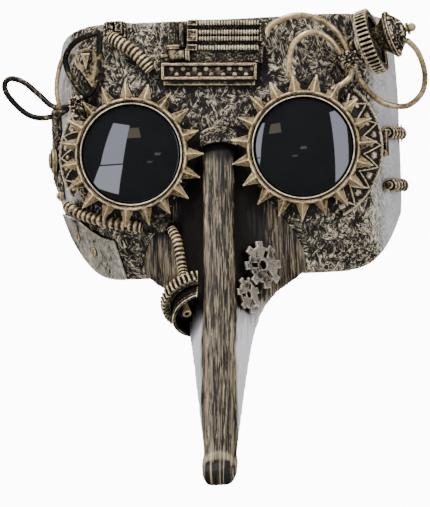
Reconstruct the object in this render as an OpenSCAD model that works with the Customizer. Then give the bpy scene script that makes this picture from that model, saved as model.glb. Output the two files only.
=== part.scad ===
// Plague doctor mask: face shell, long hollow beak, two spiked goggles and applied brass-look fittings.
// The front faces -Y and +Z is up. The origin is the wearer's eye line, centred on the rear edge.

/* [Face shell] */
// Half width of the shell at its rear edge, mm
shell_half_w = 94; // [92:1:97]
// Depth of the shell from rear edge to brow, mm
shell_depth = 61; // [60:0.5:62]
// Height of the top edge above the eye line, mm
shell_top = 70; // [68:1:72]
// Depth of the cheek edge below the eye line, mm
shell_drop = 66; // [65:1:68]
// Wall thickness of the shell and the beak, mm
wall = 2.2; // [1.8:0.2:2.6]

/* [Beak] */
// Height of the beak's root above the eye line, mm
beak_root_z = 12; // [10:1:14]
// Height of the beak's tip, mm
beak_tip_z = -168; // [-172:1:-164]
// How far the ridge runs forward from root to tip, mm
beak_reach = 79.5; // [76:0.5:84]
// Half width of the flat ridge, mm
ridge_half_w = 8.2; // [7.6:0.2:8.6]
// Half width of the skirt at the cheek edge, mm
skirt_half_w = 43.4; // [42:0.2:45]

/* [Goggles] */
// Distance of each goggle axis from the centre line, mm
eye_x = 45; // [44.5:0.5:46]
// Outside radius of the goggle cup, mm
cup_r = 28; // [27.6:0.1:28]
// Radius of the lens, mm
lens_r = 26; // [25.6:0.1:26]
// Distance of the front of the cup from the rear edge plane, mm
cup_front = 72.3; // [72:0.1:73]
// Number of spikes around a bezel
spikes = 19; // [15:1:20]
// Radius of the circle that the spike tips lie on, mm
spike_tip_r = 38.4; // [37:0.2:38.6]

/* [Gears] */
// Tip radius of the two drum gears, mm
drum_r = 17.5; // [16.5:0.5:17.5]
// Number of teeth on a drum gear
drum_teeth = 42; // [36:2:46]
// Width of a drum gear, mm
drum_w = 6; // [5:0.5:6]
// Radius of the gear axle, mm
axle_r = 2; // [1.8:0.1:2]

/* [Tubes] */
// Radius of the bent wire tubes, mm
tube_r = 1.7; // [1.5:0.1:1.8]
// Radius of the ribbed hoses at the ribs, mm
hose_r = 3.6; // [3.2:0.1:3.8]

/* [Strap eyelets] */
// Radius of the strap hole, mm
eyelet_bore_r = 2; // [1.8:0.1:2.2]

/* [Hidden] */

$fn = 48;
gold = "#a98f5e";
brass = "#c0a468";
blackened = "#2b2620";
silver = "#a8a69f";
seat = 0.15;          // gap between pieces that are cemented together
running = 0.05;       // radial clearance of a turning fit

// ---- shapes that follow rules ------------------------------------------------------------

function clamp01(v) = max(0, min(1, v));
function smooth01(v) = let(u = clamp01(v)) u * u * (3 - 2 * u);
function mix(a, b, t) = a + (b - a) * t;
function unit(v) = v / norm(v);

// The shell's level section is a superellipse of this power.
bow = 3.2;
function side_w(z, side) = shell_half_w
    - (side < 0 ? 17 : 5) * pow(clamp01((-18 - z) / 48), side < 0 ? 1.15 : 2)
    - (side < 0 ? 7 : 3) * pow(clamp01((z - 20) / 52), 2);
function front_d(z) = shell_depth - 7 * pow(clamp01(z / 70), 2) - 8 * pow(clamp01(-z / 66), 2);
function top_z(r, side) = shell_top + 3 * r * r - (side < 0 ? 9 : 4) * pow(r, 10);
function low_z(r, side) = -shell_drop + 30 * pow(r, side < 0 ? 15 : 13);
function face_y(x, z) =
    -front_d(z) * sqrt(max(0, 1 - pow(min(1, abs(x) / side_w(z, sign(x))), bow)));

// A point of the shell, grown outward by off: s runs -1..1 around it and v 0..1 up it.
function shell_point(s, v, off) =
    let(r = pow(abs(sin(90 * s)), 2 / bow), z = mix(low_z(r, sign(s)), top_z(r, sign(s)), v))
    [sign(s) * r * (side_w(z, s) + off), -cos(90 * s) * (front_d(z) + off), z];

// A closed wall between two grids of nu by nv cells, outer first.
function wall_faces(nu, nv) =
    let(n = (nu + 1) * (nv + 1))
    concat(
        [for (i = [0:nu - 1], j = [0:nv - 1], k = [0, 1])
            let(a = i * (nv + 1) + j, b = a + nv + 1) k == 0 ? [a, a + 1, b + 1] : [a, b + 1, b]],
        [for (i = [0:nu - 1], j = [0:nv - 1], k = [0, 1])
            let(a = n + i * (nv + 1) + j, b = a + nv + 1) k == 0 ? [a, b + 1, a + 1] : [a, b, b + 1]],
        [for (i = [0:nu - 1], e = [0, nv], k = [0, 1])
            let(a = i * (nv + 1) + e, b = a + nv + 1, q = (k == 0) ? [a, b, b + n] : [a, b + n, a + n])
            e == 0 ? q : [q[2], q[1], q[0]]],
        [for (j = [0:nv - 1], e = [0, nu], k = [0, 1])
            let(a = e * (nv + 1) + j, b = a + 1, q = (k == 0) ? [b, a, b + n] : [a, a + n, b + n])
            e == 0 ? q : [q[2], q[1], q[0]]]);

module grid_wall(outer, inner, nu, nv) {
    polyhedron(points = concat(outer, inner), faces = wall_faces(nu, nv), convexity = 6);
}

// A piece of plate lying on the shell, between two offsets.
module shell_patch(s0, s1, v0, v1, near, far, nu = 10, nv = 8) {
    grid_wall(
        [for (i = [0:nu], j = [0:nv]) shell_point(mix(s0, s1, i / nu), mix(v0, v1, j / nv), far)],
        [for (i = [0:nu], j = [0:nv]) shell_point(mix(s0, s1, i / nu), mix(v0, v1, j / nv), near)],
        nu, nv);
}

// The beak's section at height z: t runs -1..1 from one rear edge over the ridge to the other.
function ridge_y(z) = -61 - beak_reach * (beak_root_z - z) / (beak_root_z - beak_tip_z);
function tip_round(z) = sqrt(max(0.03, 1 - pow(clamp01((beak_tip_z + 8 - z) / 8), 2)));
function tip_bulb(z) = smooth01((beak_tip_z + 14 - z) / 7);
function skirt_w(z) = z > -66 ? mix(10, skirt_half_w, smooth01((4 - z) / 64))
    : let(base = 16.2 + (z + 96) * 9.9 / 72)
      (base + (skirt_half_w - 20.3) * exp((z + 66) / 9.5)) * mix(0.45, 1, tip_round(z));
function skirt_y(z) = z > -66 ? face_y(skirt_w(z), z) - 0.2
    : ridge_y(z) + (14 + 39.5 * exp((z + 66) / 20)) * mix(0.55, 1, tip_round(z));
function beak_point(t, z) =
    let(rw = ridge_half_w * (1 + 0.0008 * (z + 60) + 0.14 * tip_bulb(z)) * mix(0.5, 1, tip_round(z)),
        q = max(0, (abs(t) - 0.3) / 0.7), f = min(1, abs(t) / 0.3),
        power = mix(2.3, 1.15, smooth01((-60 - z) / 50)),
        front = ridge_y(z) - 1.4 * tip_bulb(z) + 4 * (1 - tip_round(z)))
    [sign(t) * (rw * f * (1 - 0.04 * f) + (max(rw, skirt_w(z)) - rw * 0.96) * pow(q, power)),
        front + 1.3 * pow(f, 3) + (skirt_y(z) - front - 1.3) * q];
function beak_normal(t, z) =
    let(d = beak_point(min(1, t + 0.02), z) - beak_point(max(-1, t - 0.02), z)) [-d[1], d[0]] / norm(d);
function beak_skin(t, z, off) =
    let(p = beak_point(t, z) + off * beak_normal(t, z)) [p[0], p[1], z];
beak_rows = 34;
function beak_level(j) = j > beak_rows - 5 ? beak_tip_z + pow((beak_rows - j) / 5, 2) * 12
    : mix(beak_root_z, beak_tip_z + 12, j / (beak_rows - 5));
beak_cols = 28;

// Smooth route through hand-placed points.
function spline_at(p, i, t, loop) =
    let(n = len(p), a = loop ? p[(i + n - 1) % n] : p[max(0, i - 1)], b = p[i],
        c = loop ? p[(i + 1) % n] : p[min(n - 1, i + 1)],
        d = loop ? p[(i + 2) % n] : p[min(n - 1, i + 2)])
    0.5 * (2 * b + (c - a) * t + (2 * a - 5 * b + 4 * c - d) * t * t
        + (3 * b - a - 3 * c + d) * t * t * t);
function route(p, steps, loop = false) = concat(
    [for (i = [0:len(p) - (loop ? 1 : 2)], k = [0:steps - 1]) spline_at(p, i, k / steps, loop)],
    loop ? [] : [p[len(p) - 1]]);

// A tube swept along a route. rib is the height of the ribs and turn the rings per rib.
module swept(pts, r, sides = 8, loop = false, rib = 0, turn = 4) {
    n = len(pts);
    rings = [for (i = [0:n - 1])
        let(before = loop ? pts[(i + n - 1) % n] : pts[max(0, i - 1)],
            after = loop ? pts[(i + 1) % n] : pts[min(n - 1, i + 1)],
            t = unit(after - before), a = unit(cross(t, [0.05, 1, 0.02])), b = cross(t, a),
            rr = r - rib * ((i % turn) < turn / 2 ? 0 : 1))
        for (k = [0:sides - 1]) pts[i] + rr * (a * cos(360 * k / sides) + b * sin(360 * k / sides))];
    skin = [for (i = [0:n - (loop ? 1 : 2)], k = [0:sides - 1], h = [0, 1])
        let(p = i * sides + k, q = i * sides + (k + 1) % sides,
            u = ((i + 1) % n) * sides + k, w = ((i + 1) % n) * sides + (k + 1) % sides)
        h == 0 ? [p, u, w] : [p, w, q]];
    ends = loop ? [] : [[for (k = [0:sides - 1]) k], [for (k = [sides - 1:-1:0]) (n - 1) * sides + k]];
    polyhedron(points = rings, faces = concat(skin, ends), convexity = 8);
}

// Turns +Z to point out of a goggle, towards the front.
module forward() {
    rotate([90, 0, 0]) children();
}

// Places a shape modelled along +Z so that +Z points at an azimuth and a rise.
module aimed(pos, azimuth, rise) {
    translate(pos) rotate([0, 90 - rise, azimuth]) children();
}

module ring(r_out, r_in, z0, z1) {
    translate([0, 0, z0]) difference() {
        cylinder(r = r_out, h = z1 - z0, $fn = 96);
        translate([0, 0, -1]) cylinder(r = r_in, h = z1 - z0 + 2, $fn = 96);
    }
}

// ---- shell and beak ------------------------------------------------------------------------

shell_cols = 44;
shell_rows = 20;
nose_gap = 4;         // how far the beak's skirt laps over the edge of the nose opening
eyelet_pos = [side_w(8, 1) - 1.1, -8, 8];
eyelet_seat_r = 3.4;

module nose_opening() {
    rows = [for (z = [-72:6:6]) z];
    half = [for (z = rows) skirt_w(max(-66, z)) - nose_gap];
    outline = concat([for (i = [0:len(rows) - 1]) [half[i], rows[i]]],
        [for (i = [len(rows) - 1:-1:0]) [-half[i], rows[i]]]);
    translate([0, -20, 0]) rotate([90, 0, 0]) linear_extrude(height = 60) polygon(outline);
}

module face_shell() {
    color(silver) difference() {
        shell_patch(-1, 1, 0, 1, -wall, 0, shell_cols, shell_rows);
        for (side = [-1, 1]) {
            translate([side * eye_x, -20, 0]) forward() cylinder(r = cup_r + seat, h = 60, $fn = 96);
            translate([side * eyelet_pos[0] - 8, eyelet_pos[1], eyelet_pos[2]])
                rotate([0, 90, 0]) cylinder(r = eyelet_seat_r, h = 16);
        }
        nose_opening();
    }
}

// Blind groove in the front of the beak's tip.
groove_depth = 1.1;
module tip_groove(x, wide) {
    translate([x, ridge_y(beak_tip_z + 7) - 3, 0]) rotate([-24, 0, 0]) hull() for (z = [4, 11])
        translate([0, 0, beak_tip_z + z]) rotate([-90, 0, 0]) cylinder(r = wide / 2, h = 3 + groove_depth);
}

module beak_shell() {
    color(gold) difference() {
        grid_wall(
            [for (i = [0:beak_cols], j = [0:beak_rows])
                beak_skin(-1 + 2 * i / beak_cols, beak_level(beak_rows - j), 0)],
            [for (i = [0:beak_cols], j = [0:beak_rows])
                beak_skin(-1 + 2 * i / beak_cols, beak_level(beak_rows - j), wall)],
            beak_cols, beak_rows);
        for (x = [-5.2, -1.4, 4.6]) tip_groove(x, x == -1.4 ? 3.4 : 1.6);
    }
}

// Textured strap that bridges the two goggles over the root of the beak.
arch_x = 0.5;
module nose_arch() {
    color(gold) translate([arch_x, -64.4, 8.5]) forward() linear_extrude(height = 4.6) difference() {
        intersection() {
            translate([0, -10]) circle(r = 14.4, $fn = 96);
            translate([-9.4, -6.2]) square([18.8, 11]);
        }
        translate([0, -23.6]) circle(r = 20, $fn = 96);
    }
}

// ---- goggles -------------------------------------------------------------------------------

// Angle of the rear cut that makes each cup follow the shell, steeper on the temple side
cup_rake = 20;
module goggle_cup(side) {
    color(blackened) translate([side * eye_x, 0, 0]) difference() {
        forward() union() {
            ring(cup_r, lens_r + 0.9, 34, cup_front);
            ring(lens_r + 1.2, 24.4, 67, 69);
            translate([0, 0, 67]) ring(cup_r - 0.2, lens_r + 0.7, 0, 2);
        }
        rotate([0, 0, side * cup_rake]) translate([-60, -51, -60]) cube([120, 60, 120]);
    }
}

module lens(side) {
    color("#121416") translate([side * eye_x, 0, 0]) forward() rotate_extrude($fn = 96)
        polygon(concat([[0, 69.2], [lens_r - 0.1, 69.2]],
            [for (a = [18:-2:0]) [(lens_r - 0.1) * sin(a) / sin(18),
                72.6 + 4.2 * (cos(a) - cos(18)) / (1 - cos(18))]]));
}

module lens_gasket(side) {
    color("#0c0c0c") translate([side * eye_x, 0, 0]) forward() ring(lens_r + 0.8, lens_r, 69.1, 73.6);
}

module lens_retainer(side) {
    color(silver) translate([side * eye_x, 0, 0]) forward() ring(lens_r + 0.75, lens_r + 0.1, 73.7, 74.8);
}

// Angle of the first spike. One spike of the left bezel points at the nose, one of the right down.
function spike_start(side) = side < 0 ? -2 : -93;
module spiked_bezel(side) {
    pitch = 360 / spikes;
    color(brass) translate([side * eye_x, 0, 0]) forward() union() {
        rotate_extrude($fn = 96) polygon([[cup_r + running, 69.6], [cup_r + 1.2, 69.6],
            [cup_r + 1.5, 70.2], [cup_r + 1.5, 73.8], [cup_r + 0.9, 75], [cup_r + 0.1, 75.2],
            [cup_r - 0.6, 74.6], [cup_r - 0.6, cup_front + 0.15], [cup_r + running, cup_front + 0.15]]);
        for (k = [0:spikes - 1]) rotate([0, 0, pitch * k + spike_start(side)])
            translate([cup_r + 0.4, 0, 72.6]) rotate([0, 90, 0])
                cylinder(r1 = 2.9, r2 = 0.3, h = spike_tip_r - cup_r - 0.4, $fn = 24);
    }
}

// Cowl that fills between a goggle and the temple, and its lower and upper ends in degrees
right_cowl = [-62, 48];
left_cowl = [-30, 36];
module side_shield(side) {
    start = side > 0 ? right_cowl[0] : 180 - left_cowl[1];
    sweep = side > 0 ? right_cowl[1] - right_cowl[0] : left_cowl[1] - left_cowl[0];
    color(gold) translate([side * eye_x, 0, 0]) forward() rotate([0, 0, start])
        rotate_extrude(angle = sweep, $fn = 96)
        polygon([[cup_r + 0.3, 65.6], [cup_r + 1, 67.4], [34, 64.5], [41, 51], [41, 47], [39, 50],
            [33, 62], [cup_r + 0.3, 64]]);
}

module shield_rivets() {
    color(brass) for (side = [-1, 1], a = side > 0 ? [-54, -36, -18, 0, 18, 36] : [-22, 0, 24])
        translate([side * (eye_x + 34.6 * cos(a)), -63.2, 34.6 * sin(a)]) sphere(r = 1.3, $fn = 24);
}

module temple_plate_left() {
    color(gold) difference() {
        shell_patch(-0.86, -0.70, 0.30, 0.66, 0.3, 2.6, 8, 8);
        translate([-eye_x, 0, 0]) forward() cylinder(r = 42, h = 80, $fn = 96);
    }
}

module temple_knobs() {
    color(brass) {
        aimed([-91.6, -27, 0], 195, 0) union() {
            cylinder(r = 6.6, h = 2.4);
            cylinder(r = 4.2, h = 3.6);
        }
        aimed([-88.7, -26, -19], 200, 0) union() {
            cylinder(r = 2.9, h = 2.2);
            cylinder(r = 1.6, h = 3.4);
        }
    }
}

// ---- brow machinery ------------------------------------------------------------------------

// The whole brow block sits slightly turned on the forehead.
brow_turn = 2.4;
module on_brow() {
    translate([-3.5, 0, 42.1]) rotate([0, brow_turn, 0]) children();
}

module bead_channel() {
    color(brass) on_brow() difference() {
        union() {
            translate([-25, -64.4, -4.3]) cube([50, 6.2, 8.6]);
            translate([-24, -62, -7.2]) cube([48, 3, 3.2]);
        }
        translate([-23.6, -66, -3]) cube([47.2, 4.6, 6]);
    }
}

module channel_beads() {
    color(brass) on_brow() {
        for (k = [0:7]) translate([-20 + 6.1 * k, -61, 1.5]) sphere(r = 1.35, $fn = 24);
        for (k = [0:6]) translate([-17.2 + 6.1 * k, -61, -1.6]) sphere(r = 1.3, $fn = 24);
    }
}

module rod_block() {
    color(blackened) on_brow() translate([-12, 0, 0]) union() {
        translate([0, -61.2, 4.6]) cube([40, 3, 8.4]);
        translate([0, -59.2, 13]) cube([40, 3, 14.4]);
    }
}

rod_heights = [25.6, 20.6, 17.3, 12.4];
rod_y = -61;
rod_tooth = 1.45;
rod_teeth = 22;
module toothed_rods() {
    color(brass) on_brow() for (z = rod_heights) translate([-6, rod_y - (z < 13 ? 2 : 0), z])
        rotate([0, 90, 0]) rotate_extrude($fn = 32) polygon(concat([[0, 0]],
            [for (k = [0:rod_teeth - 1], c = [[0.85, 0], [0.85, 0.55], [1.3, 0.7], [1.3, 1.3]])
                [c[0], k * rod_tooth + c[1]]],
            [[0.85, rod_teeth * rod_tooth], [0, rod_teeth * rod_tooth]]));
}

module rod_clamps() {
    color(brass) on_brow() for (z = rod_heights) translate([-11.6, rod_y - 1.9 - (z < 13 ? 2 : 0), z - 1.4])
        cube([5.3, 3.6, 2.8]);
}

module rod_end_fitting() {
    color(brass) on_brow() translate([29, rod_y, 16]) union() {
        translate([-2.4, -1.4, 0]) cube([3.6, 3, 9]);
        translate([-0.6, 0, -2]) cylinder(r = 1.3, h = 12.6);
    }
}

module elbow_pipe() {
    color(brass) translate([-21.8, -61.4, 51.2]) union() {
        rotate([0, 90, 0]) cylinder(r = 3, h = 8.4);
        translate([6.4, 0, 0]) rotate([0, 90, 0]) cylinder(r = 3.8, h = 2);
        sphere(r = 3);
        cylinder(r = 3, h = 5);
        translate([0, 0, 3.4]) cylinder(r = 3.7, h = 2);
        translate([-6.8, 0, 0]) rotate([0, 90, 0]) cylinder(r = 1.2, h = 6);
    }
}

module riser_pipes() {
    color(gold) {
        for (x = [-24.8, -22]) translate([x, -57.4, 56.6]) cube([2.4, 3, 12.8]);
        translate([-17.6, -58.4, 55.4]) cylinder(r = 1.35, h = 14);
    }
}

module brow_bracket() {
    color(blackened) translate([-59.4, -51.6, 63]) union() {
        cube([11, 3.4, 8.4]);
        translate([1.6, -2.2, 2]) cube([3, 3, 6.4]);
        translate([6.4, -2.2, 2]) cube([3, 3, 6.4]);
    }
}

brow_hose_route = [[-56, -56, 63], [-51, -58, 60], [-44, -60, 55], [-38, -61, 49],
    [-34, -61, 44]];
module brow_hose() {
    color(gold) swept(route(brow_hose_route, 13), hose_r, 10, rib = 0.6);
}

module hose_hooks() {
    color(blackened) for (k = [0, 1]) translate([-29.8, -62.4, 53 - 6.4 * k]) rotate([90, 0, 40])
        rotate_extrude(angle = 270, $fn = 40) translate([2.2, 0]) circle(r = 0.9, $fn = 20);
}

// ---- bent tubes ------------------------------------------------------------------------------

left_ring_route = [[-62, -55, 65], [-69, -54, 64], [-76, -51, 61], [-81, -47, 55], [-81, -45, 48],
    [-77, -45, 40], [-71, -50, 33], [-66, -52, 36], [-63, -54, 44], [-62, -56, 55]];
module left_ring() {
    color(blackened) swept(route(left_ring_route, 4, true), tube_r, 8, true);
}

module leaf_badge() {
    color(brass) translate([-70.6, -46.4, 49]) forward() union() {
        linear_extrude(height = 3) difference() {
            union() {
                translate([0.6, 3]) circle(r = 6.2);
                polygon([[-5.5, 2], [6.8, 2], [3.6, -12]]);
            }
            translate([0.4, 3.4]) circle(r = 3.4);
        }
        translate([0.6, 6.4, 1]) linear_extrude(height = 4) polygon([[-2.4, 0], [2.4, 0], [0, -9]]);
        translate([3, -5, -9]) cylinder(r = 1.6, h = 10);
    }
}

left_arc_route = [[-80, -34, 57], [-85, -34, 54], [-88, -32, 46], [-89, -32, 37], [-87, -33, 28],
    [-81, -33, 23]];
module left_arc() {
    color(brass) swept(route(left_arc_route, 4), tube_r - 0.3, 8);
}

far_loop_route = [[-79, -41, 29], [-88, -39, 24], [-98, -36, 23], [-106, -34, 26], [-114, -33, 34],
    [-117, -33, 40], [-116, -33, 44], [-112, -34, 45], [-105, -37, 42], [-97, -41, 35],
    [-89, -45, 28], [-80, -47, 28]];
module left_far_loop() {
    color(blackened) swept(route(far_loop_route, 3), tube_r, 8);
}

module left_clip() {
    color("#171513") translate([-79.5, -50, 25.5]) difference() {
        cube([6.4, 11.4, 7]);
        translate([-1, 5, -1]) cube([5, 2, 9]);
    }
}

tube_arc_route = [[27, -60.5, 59], [29, -62, 64], [37, -64, 68], [47, -65, 69], [58, -64, 65],
    [66, -62, 57], [70, -61, 48]];
module tube_arc() {
    color(brass) swept(route(tube_arc_route, 5), tube_r, 8);
}

tube_ring_route = [[43, -60, 32], [39, -63, 39], [39, -65, 46], [42, -66, 55], [51, -66, 60],
    [60, -65, 56], [66, -62, 48]];
tube_ring_tail = [[71, -59, 41], [70, -59, 36], [65, -60, 32], [60, -60, 29.6]];
module tube_ring() {
    color(brass) {
        swept(route(tube_ring_route, 5), tube_r, 8);
        swept(route(tube_ring_tail, 5), tube_r, 8);
    }
}

end_loop_route = [[74, -54, 36], [79, -50, 29], [85, -45, 23.5], [92, -42, 21], [100, -42, 21],
    [107, -44, 27], [109, -47, 35], [108, -52, 42], [105, -58, 49], [100, -63, 54]];
module tube_end_loop() {
    color(brass) swept(route(end_loop_route, 4), tube_r, 8);
}

module tube_clip() {
    color("#171513") difference() {
        translate([66.4, -64, 42]) cube([7, 7.4, 7]);
        translate([72, -62, 44]) cube([3, 4, 3]);
    }
}

// ---- upper gear ------------------------------------------------------------------------------

upper_pos = [82, -60, 54];
upper_azimuth = -11;
upper_rise = 16;
module on_upper_axis() {
    aimed(upper_pos, upper_azimuth, upper_rise) children();
}

// Drum gear with flat ribs, centred on its own middle plane.
tooth_depth = 1.7;
function drum_outline() = [for (k = [0:drum_teeth - 1], c = [[0, 0], [0.14, 1], [0.5, 1], [0.64, 0]])
    let(r = drum_r - tooth_depth * (1 - c[1]), a = 360 * (k + c[0]) / drum_teeth) [r * cos(a), r * sin(a)]];
module drum_gear(bore) {
    difference() {
        translate([0, 0, -drum_w / 2]) linear_extrude(height = drum_w) polygon(drum_outline());
        translate([0, 0, 1]) cylinder(r = drum_r - 4.4, h = drum_w);
        translate([0, 0, -drum_w]) cylinder(r = bore, h = 2 * drum_w);
    }
}

// Trumpet cup with a double rim.
module trumpet(bore) {
    rotate_extrude($fn = 72) polygon([[bore, 1.4], [6.4, 1.4], [6.4, 4], [7.6, 6], [10.2, 9],
        [12.4, 10.2], [12.4, 10.9], [11.9, 11.15], [12.4, 11.4], [12.4, 12.2], [10.8, 12.2],
        [10.6, 10.8], [8.6, 9.6], [6.2, 7.4], [bore, 6.4]]);
}

module gear_axle() {
    color(blackened) union() {
        on_upper_axis() {
            translate([0, 0, -9]) cylinder(r = axle_r, h = 20);
            translate([0, 0, -8]) cylinder(r = 5, h = 4.6);
            translate([0, 0, -4.9]) cylinder(r = drum_r - 3.5, h = 1.6);
        }
        translate([73.6, -38, 52.5]) forward() cylinder(r = 3.4, h = 21);
    }
}

module gear_upper() {
    color(brass) on_upper_axis() drum_gear(axle_r + running);
}

module cup_upper() {
    color(brass) on_upper_axis() translate([0, 0, 0.2]) trumpet(axle_r + 0.02);
}

module valve_dome() {
    color(blackened) on_upper_axis() union() {
        difference() {
            translate([0, 0, 12.6]) cylinder(r1 = 10.6, r2 = 5.4, h = 5);
            cylinder(r = axle_r + 0.1, h = 13.2);
        }
        translate([-4, -7.4, 13.6]) cube([7, 5.6, 5]);
        translate([-4, -3.6, 15.6]) cube([7, 5.6, 2.8]);
    }
}

module valve_knob() {
    color(brass) on_upper_axis() union() {
        translate([0, 0, 18.75]) cylinder(r = 1.4, h = 2.6);
        translate([0, 0, 22.4]) sphere(r = 2.3, $fn = 36);
        translate([-3.2, -0.6, 19.4]) cube([6.4, 1.2, 1.6]);
    }
}

// ---- right temple ------------------------------------------------------------------------------

function coil(turns, length, r, steps) = [for (i = [0:turns * steps])
    [r * cos(360 * i / steps), r * sin(360 * i / steps), length * i / (turns * steps)]];
spring_azimuth = 68;
module side_springs() {
    color(brass) for (z = [7.5, -20.5]) translate([87.6, -34.6, z]) rotate([0, 90, spring_azimuth]) {
        swept(coil(5, 20, 3, 10), 0.8, 6);
        translate([0, 0, 0.6]) cylinder(r = 1.9, h = 20.4);
    }
}

module side_link() {
    color(blackened) translate([84.6, -39, -5.4]) rotate([0, 0, -20]) difference() {
        cube([3, 3.2, 14.4]);
        translate([1.5, -1, 1.6]) rotate([-90, 0, 0]) cylinder(r = 0.85, h = 6);
    }
}

module link_pin() {
    color(brass) translate([84.6, -39, -5.4]) rotate([0, 0, -20]) union() {
        translate([1.5, -1.2, 1.6]) rotate([-90, 0, 0]) cylinder(r = 0.8, h = 5.4);
        translate([1.5, -2.6, 1.6]) rotate([-90, 0, 0]) cylinder(r = 2, h = 2.4);
    }
}

// ---- cheeks and the side of the beak -------------------------------------------------------------

cheek_hose_route = [[-85, -37, -25], [-76, -46.5, -30], [-65, -54.5, -33.5], [-52, -60, -36.5],
    [-41, -62, -38.5]];
module cheek_hose() {
    color(gold) swept(route(cheek_hose_route, 16), hose_r - 0.3, 10, rib = 0.6);
}

// Plain sleeve that joins the two hoses beside the nose.
collar_route = [[-40.5, -62.2, -37.6], [-35.5, -63.2, -37.4], [-31, -65, -37.6], [-26.6, -67.4, -39.4]];
module hose_collar() {
    color(blackened) swept(route(collar_route, 5), 4.1, 12);
}

nose_hose_route = [[-26.2, -67.7, -39.7], [-23.2, -70.6, -45], [-21.4, -73.5, -53], [-20, -77, -61],
    [-18.8, -81, -66]];
module nose_hose() {
    color(gold) swept(route(nose_hose_route, 14), hose_r - 0.8, 10, rib = 0.5);
}

lower_pos = [-14, -84, -77];
lower_azimuth = -67;
lower_rise = -40;
// The lower gear is let into the side of the beak, so it is cut off on that side.
module beside_beak() {
    intersection() {
        aimed(lower_pos, lower_azimuth, lower_rise) children();
        translate([0, 0, -120]) linear_extrude(height = 80) polygon([[-10.6, -130], [-10.6, -88.3],
            [-36, -58], [-60, -58], [-60, -130]]);
    }
}

module gear_lower() {
    color(brass) beside_beak() drum_gear(axle_r);
}

module cup_lower() {
    color(brass) beside_beak() translate([0, 0, 0.2]) difference() {
        rotate_extrude($fn = 72) polygon([[0, 1.4], [12.4, 3.4], [13.4, 9], [14.6, 10.2],
            [14.6, 10.9], [14.1, 11.15], [14.6, 11.4], [14.6, 12.2], [13.2, 12.2], [12, 9.6],
            [11, 5], [0, 4]]);
    }
}

module cup_stub() {
    color(brass) aimed(lower_pos, lower_azimuth, lower_rise) translate([-1.6, -7.2, 5.2]) difference() {
        cylinder(r = 2.2, h = 7.3);
        translate([0, 0, 3]) cylinder(r = 1.1, h = 6);
    }
}

cheek_plate_outline = [[-92, -28], [-80, -32], [-72, -38.6], [-66, -42.4], [-57.4, -45.2],
    [-52, -62], [-55, -70], [-92, -70]];
module cheek_plate() {
    color(silver) intersection() {
        shell_patch(-0.86, -0.36, 0, 0.32, 0.3, 1.9, 12, 8);
        translate([0, -10, 0]) forward() linear_extrude(height = 60) polygon(cheek_plate_outline);
    }
}

module cheek_screws() {
    color(brass) for (p = [[-79.6, -41.4, 208], [-70.6, -50, 222]])
        aimed([p[0], face_y(p[0], p[1]) - 2.2, p[1]], p[2], -6) difference() {
            cylinder(r = 2.3, h = 1.5);
            translate([-3, -0.35, 0.8]) cube([6, 0.7, 2]);
        }
}

// Flat cog with a slotted web.
module flat_cog(r, teeth, thick) {
    difference() {
        union() {
            cylinder(r = r * 0.78, h = thick);
            for (k = [0:teeth - 1]) rotate([0, 0, 360 * k / teeth])
                translate([0, -r * 0.17, 0]) cube([r, r * 0.34, thick]);
        }
        translate([0, 0, -1]) cylinder(r = r * 0.2, h = thick + 2);
        for (k = [0:2]) rotate([0, 0, 120 * k + 30])
            translate([r * 0.32, -r * 0.1, -1]) cube([r * 0.36, r * 0.2, thick + 2]);
    }
}

cog_azimuth = -41;
cog_rise = 12;
module cheek_cog_large() {
    color(gold) aimed([21, -71.9, -60.4], cog_azimuth, cog_rise) flat_cog(12.5, 8, 1.4);
}

module cheek_cog_small() {
    color(gold) aimed([13.8, -83.6, -75.5], cog_azimuth + 12, cog_rise) flat_cog(9.6, 7, 1.3);
}

// ---- strap eyelets -------------------------------------------------------------------------------

module strap_eyelet(side) {
    color(brass) translate([side * eyelet_pos[0], eyelet_pos[1], eyelet_pos[2]]) rotate([0, 90, 0])
        rotate_extrude($fn = 48) polygon([[eyelet_bore_r, -2.6], [4.8, -2.6], [4.8, -1.7],
            [eyelet_seat_r - seat, -1.7], [eyelet_seat_r - seat, 1.7], [4.8, 1.7], [4.8, 2.6],
            [eyelet_bore_r, 2.6]]);
}

face_shell();
beak_shell();
nose_arch();
goggle_cup(-1);  // goggle_cup_left
goggle_cup(1);  // goggle_cup_right
lens(-1);  // lens_left
lens(1);  // lens_right
lens_gasket(-1);  // lens_gasket_left
lens_gasket(1);  // lens_gasket_right
lens_retainer(-1);  // lens_retainer_left
lens_retainer(1);  // lens_retainer_right
spiked_bezel(-1);  // spiked_bezel_left
spiked_bezel(1);  // spiked_bezel_right
side_shield(-1);  // side_shield_left
side_shield(1);  // side_shield_right
shield_rivets();
temple_plate_left();
temple_knobs();
bead_channel();
channel_beads();
rod_block();
toothed_rods();
rod_clamps();
rod_end_fitting();
elbow_pipe();
riser_pipes();
brow_bracket();
brow_hose();
hose_hooks();
left_ring();
leaf_badge();
left_arc();
left_far_loop();
left_clip();
tube_arc();
tube_ring();
tube_end_loop();
tube_clip();
gear_axle();
gear_upper();
cup_upper();
valve_dome();
valve_knob();
side_springs();
side_link();
link_pin();
cheek_hose();
hose_collar();
nose_hose();
gear_lower();
cup_lower();
cup_stub();
cheek_plate();
cheek_screws();
cheek_cog_large();
cheek_cog_small();
strap_eyelet(-1);  // strap_eyelet_left
strap_eyelet(1);  // strap_eyelet_right
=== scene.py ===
import math

import bmesh
import bpy
import numpy as np
from mathutils import Matrix, Vector, noise


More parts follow.
